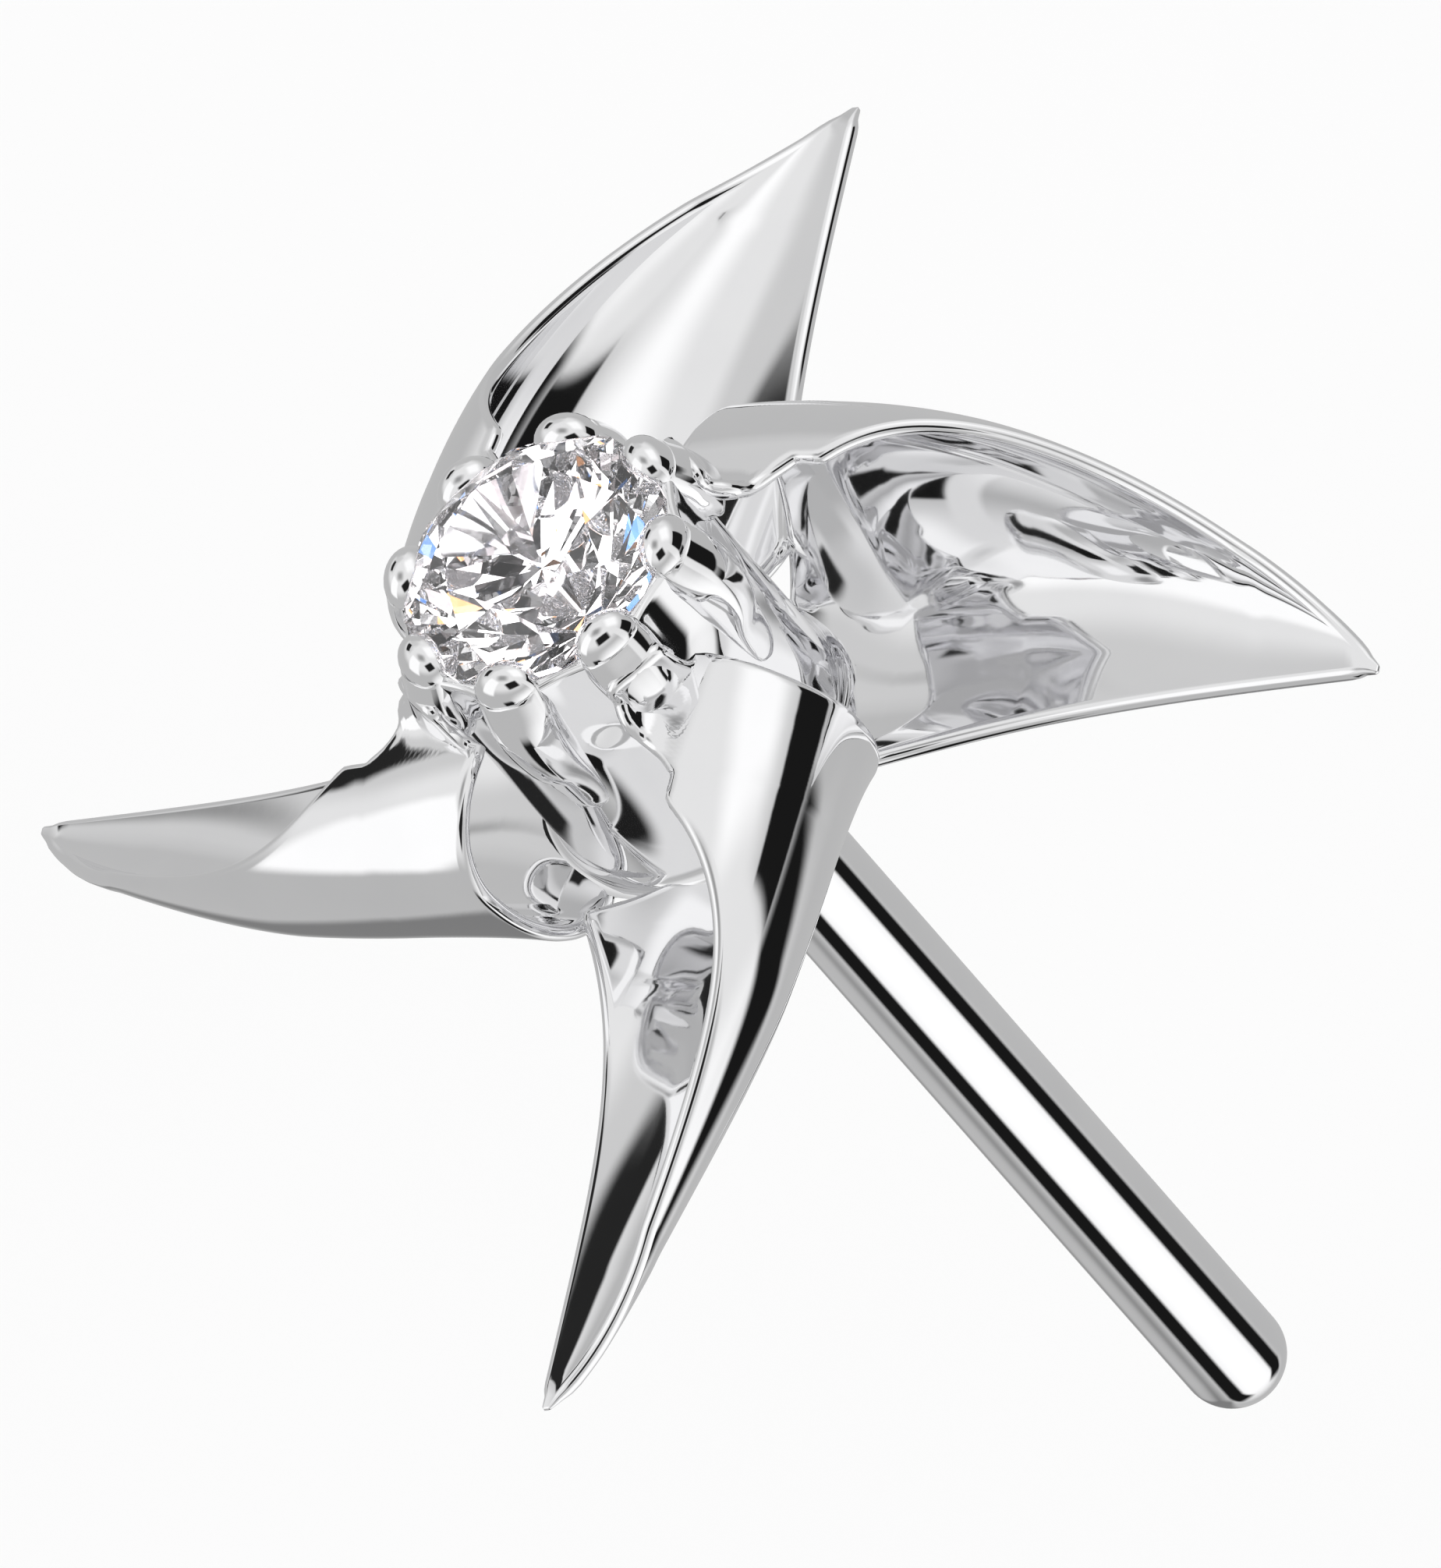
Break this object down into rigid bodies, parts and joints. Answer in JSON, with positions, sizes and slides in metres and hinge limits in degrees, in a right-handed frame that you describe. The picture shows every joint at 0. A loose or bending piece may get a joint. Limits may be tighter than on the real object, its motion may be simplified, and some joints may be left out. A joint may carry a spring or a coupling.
{
  "type": "pinwheel stud",
  "caption": "Body jewellery stud: a folded sheet pinwheel round a claw-set round brilliant stone, on a straight push-in pin with a rounded end.",
  "frame": {"origin": "centre of the pin where it meets the back face of the hub", "axes": "+Z along the pin's axis, from the pin towards the stone; +X along the first vane's tip and +Y along the second's"},
  "size_m": [0.0084, 0.0084, 0.0085],
  "materials": {
    "sheet": "mirror polish",
    "collet": "mirror polish",
    "pin": "mirror polish",
    "stone": "faceted and polished, colourless"
  },
  "bodies": {
    "root": {"stone": "stone", "collet": "collet", "claw_1": "collet", "claw_2": "collet", "claw_3": "collet", "claw_4": "collet", "claw_5": "collet", "claw_6": "collet", "claw_7": "collet", "claw_8": "collet", "vane_1": "sheet", "vane_2": "sheet", "vane_3": "sheet", "vane_4": "sheet", "hub_plate": "sheet", "pin": "pin"}
  },
  "joints": []
}
